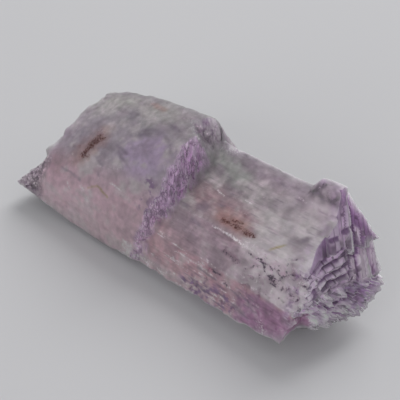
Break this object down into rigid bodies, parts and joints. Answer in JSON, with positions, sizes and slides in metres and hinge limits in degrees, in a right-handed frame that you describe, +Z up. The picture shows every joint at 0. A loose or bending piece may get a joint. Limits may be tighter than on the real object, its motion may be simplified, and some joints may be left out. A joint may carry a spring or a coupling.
{
  "type": "kunzite crystal",
  "caption": "Rough kunzite crystal: a striated lilac blade, thicker at one end, stepped across the middle, with an etched sloping end.",
  "frame": {"origin": "on the ground under the middle of the crystal's bounding box, as it lies", "axes": "+X along the crystal towards its etched sloping end, +Z up, -Y towards the long side with the ledge"},
  "size_m": [0.0686, 0.0254, 0.0233],
  "materials": {
    "kunzite": "translucent lilac to grey crystal, frosted and etched, vitreous where it is clean"
  },
  "bodies": {
    "root": {"kunzite_crystal": "kunzite"}
  },
  "joints": []
}
